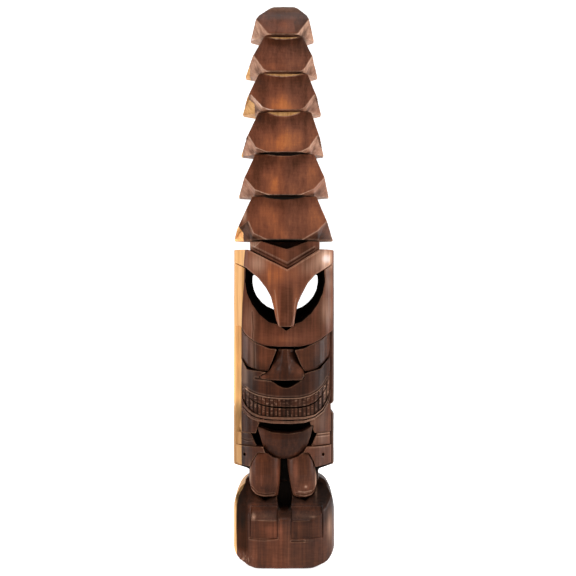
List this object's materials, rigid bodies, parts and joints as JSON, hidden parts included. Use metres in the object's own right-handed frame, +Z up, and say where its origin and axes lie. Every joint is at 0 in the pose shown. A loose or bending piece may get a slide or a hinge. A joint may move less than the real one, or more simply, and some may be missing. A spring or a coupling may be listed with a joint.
{
  "type": "carved tiki statue",
  "caption": "Tall free-standing carved wooden tiki with a stepped headdress, pierced eyes, a wide toothed mouth, hands on the belly and a round plinth.",
  "frame": {"origin": "centre of the bounding box in plan, on the ground plane the base stands on", "axes": "+Z up the figure; the figure faces -Y; +X is on the viewer's right when looking at the face"},
  "size_m": [0.167, 0.14, 0.915],
  "materials": {
    "carved_wood": "Red-brown carved hardwood heartwood, stained and glossily lacquered, grain running up the log.",
    "sapwood_edge": "The outer skin of the log, pale honey sapwood on the left edge and brown heartwood elsewhere, lacquered.",
    "smoked_wood": "The same wood darkened with stain in the lower face, arms, belly and legs, satin to glossy lacquer.",
    "toothed_wood": "Dark brown wood cut into upright teeth, lacquered."
  },
  "bodies": {
    "root": {"base_block": "carved_wood", "hand_left": "carved_wood", "hand_right": "carved_wood", "brow_bridge": "carved_wood", "forehead": "carved_wood", "eye_plate": "carved_wood", "cheek_left": "carved_wood", "cheek_right": "carved_wood", "headdress_tier_1": "carved_wood", "headdress_tier_2": "carved_wood", "headdress_tier_3": "carved_wood", "headdress_tier_4": "carved_wood", "headdress_tier_5": "carved_wood", "headdress_tier_6": "carved_wood", "back_slab": "sapwood_edge", "foot_left": "smoked_wood", "foot_right": "smoked_wood", "leg_left": "smoked_wood", "leg_right": "smoked_wood", "belly": "smoked_wood", "upper_arm_left": "smoked_wood", "upper_arm_right": "smoked_wood", "forearm_left": "smoked_wood", "forearm_right": "smoked_wood", "nose": "smoked_wood", "lower_jaw": "smoked_wood", "upper_lip": "smoked_wood", "upper_teeth": "toothed_wood", "lower_teeth": "toothed_wood"}
  },
  "joints": []
}
